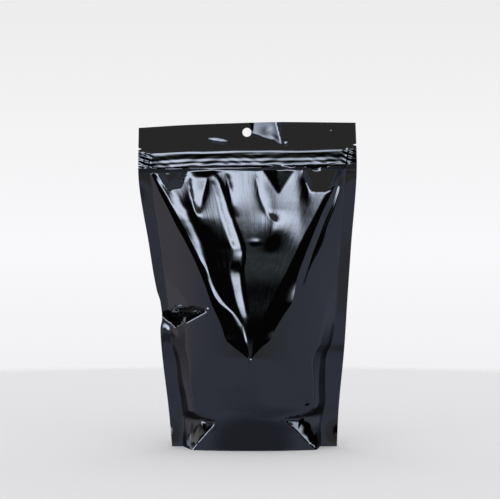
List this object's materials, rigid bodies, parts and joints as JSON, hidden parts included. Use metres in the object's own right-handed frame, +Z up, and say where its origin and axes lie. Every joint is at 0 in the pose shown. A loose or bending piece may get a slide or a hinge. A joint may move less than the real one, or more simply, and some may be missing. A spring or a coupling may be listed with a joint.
{
  "type": "stand-up pouch",
  "caption": "Filled stand-up pouch of glossy black foil film with a zip, a flat header with a hang hole, side seals and a bottom gusset.",
  "frame": {"origin": "middle of the bounding box's floor, on the surface that the pouch stands on", "axes": "+Z up, the pouch's height; +X to the right of the front face; +Y to the back, so the front face looks along -Y"},
  "size_m": [0.1806, 0.075, 0.2672],
  "materials": {
    "foil_film": "glossy black foil laminate film, crisp mirror-like reflections, creased where it folds"
  },
  "bodies": {
    "root": {"pouch": "foil_film"}
  },
  "joints": []
}
